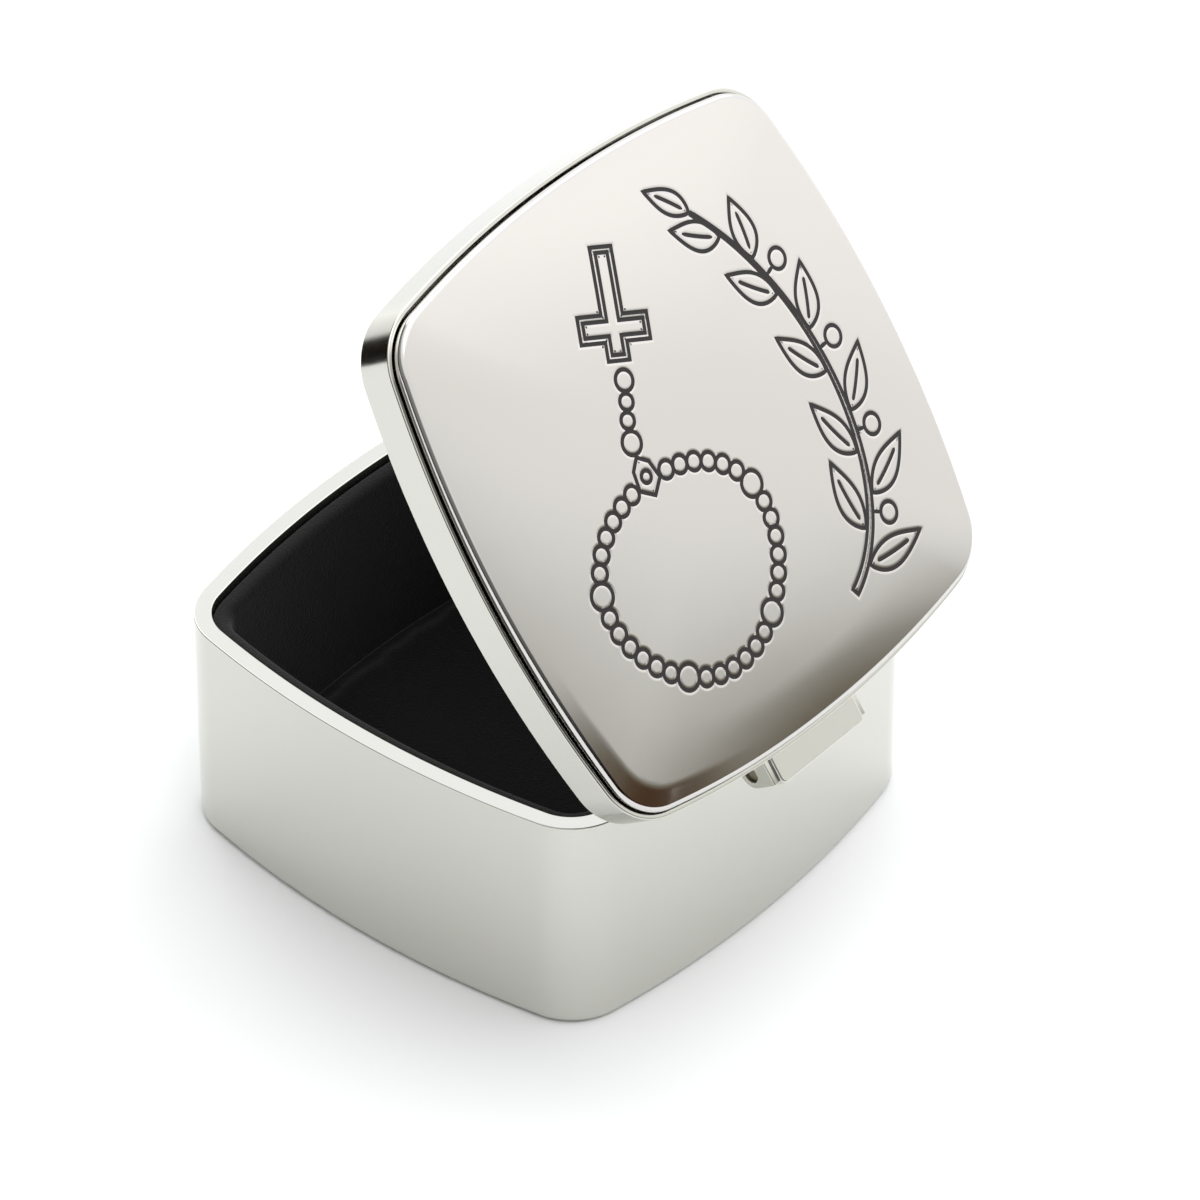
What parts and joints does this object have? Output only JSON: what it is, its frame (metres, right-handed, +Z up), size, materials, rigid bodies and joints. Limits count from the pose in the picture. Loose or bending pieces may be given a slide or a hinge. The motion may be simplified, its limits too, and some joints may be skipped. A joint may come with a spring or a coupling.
{
  "type": "rosary box",
  "caption": "Small square keepsake box with bowed sides, round corners, a hinged domed lid and a velvet lining.",
  "frame": {"origin": "centre of the base, on the surface the box stands on", "axes": "+Z up, +Y towards the hinge, +X to the right of someone facing the hinge from the front"},
  "size_m": [0.0594, 0.0639, 0.077],
  "materials": {
    "plated_metal": "polished nickel plating on a cast metal",
    "plate_metal": "polished nickel plating on a stamped plate",
    "pin_steel": "plain steel with a sheared end",
    "velvet": "short black velvet",
    "card": "grey-brown board"
  },
  "bodies": {
    "tray": {"body_shell": "plated_metal", "wall_card": "card", "wall_velvet": "velvet", "floor_card": "card", "floor_velvet": "velvet"},
    "lid": {"lid_frame": "plated_metal", "lid_plate": "plate_metal", "lid_card": "card", "lid_velvet": "velvet", "hinge_pin": "pin_steel"}
  },
  "joints": [
    {"name": "lid_hinge", "type": "hinge", "parent": "tray", "child": "lid", "pos_m": [0, 0.03165, 0.0243], "axis": [-1, 0, 0], "range_deg": [-54.2, 45.8]}
  ]
}
